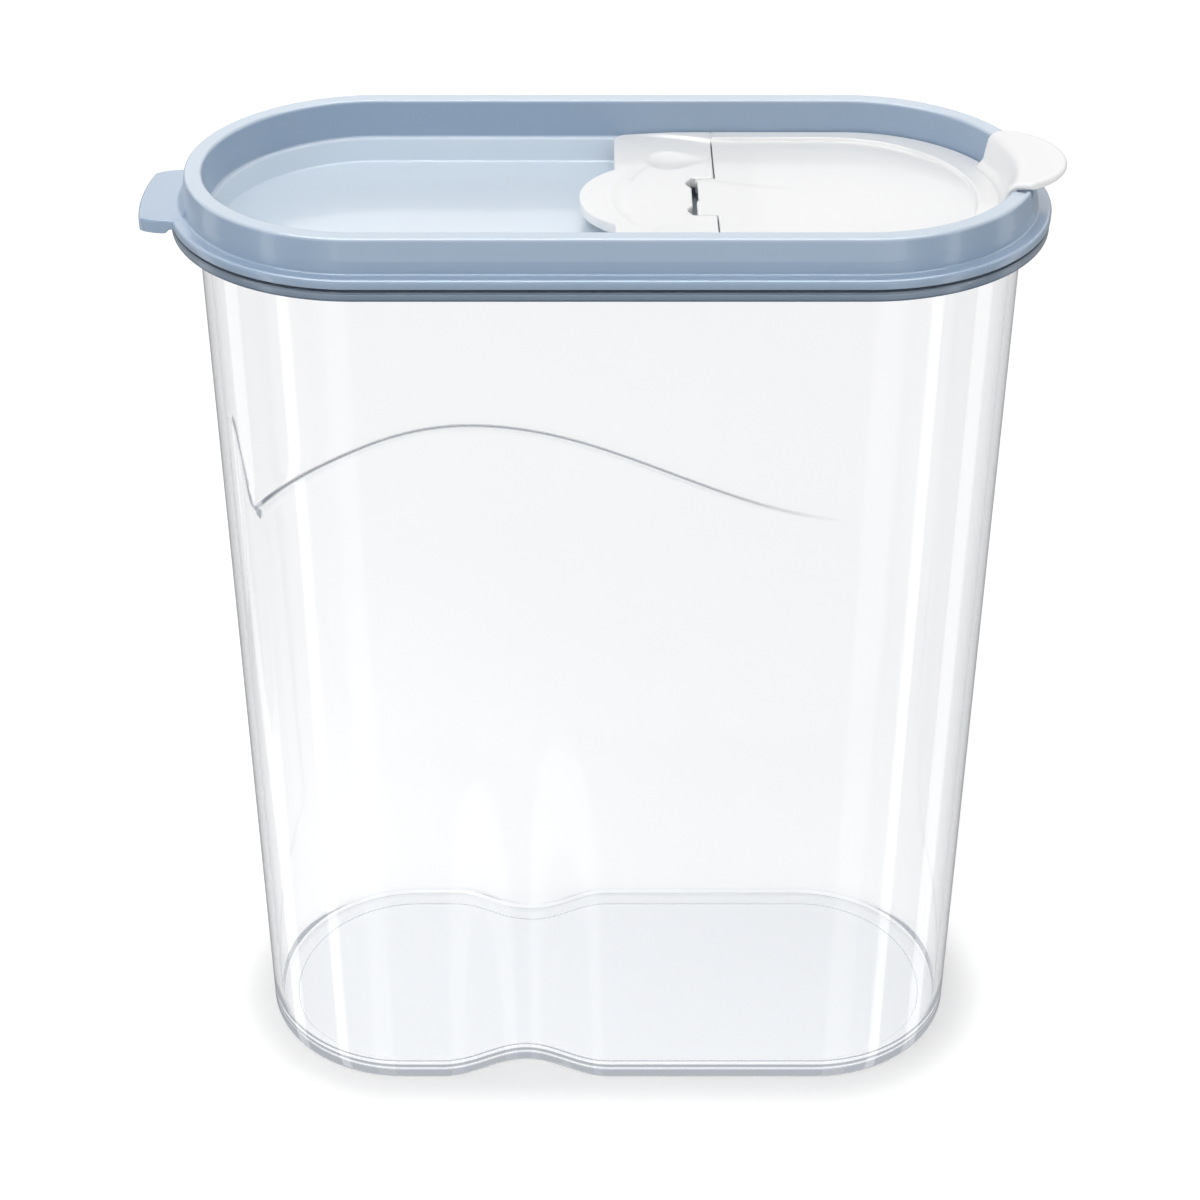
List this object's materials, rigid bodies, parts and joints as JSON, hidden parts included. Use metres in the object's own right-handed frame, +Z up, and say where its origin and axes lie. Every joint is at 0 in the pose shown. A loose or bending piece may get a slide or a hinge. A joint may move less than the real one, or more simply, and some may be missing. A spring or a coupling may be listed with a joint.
{
  "type": "dry food container with flip spout",
  "caption": "Tall clear stadium-shaped dry-food container with a press-on lid, a pull tab and a flip-up pouring flap.",
  "frame": {"origin": "middle of the base, on the surface it stands on", "axes": "+Z up out of the mouth, X along the long side with the pouring flap at +X and the pull tab at -X"},
  "size_m": [0.2204, 0.0944, 0.2615],
  "materials": {
    "clear_plastic": "clear, glossy moulded plastic",
    "lid_plastic": "satin blue-grey moulded plastic",
    "white_plastic": "satin white moulded plastic"
  },
  "bodies": {
    "container": {"container": "clear_plastic"},
    "lid": {"lid": "lid_plastic", "hinge_plate": "white_plastic"},
    "flap": {"flap": "white_plastic"}
  },
  "joints": [
    {"name": "lid_lift", "type": "slide", "parent": "container", "child": "lid", "axis": [0, 0, 1], "range_m": [0, 0.05]},
    {"name": "flap_hinge", "type": "hinge", "parent": "lid", "child": "flap", "pos_m": [0.0227, 0, 0.2498], "axis": [0, -1, 0], "range_deg": [0, 95]}
  ]
}
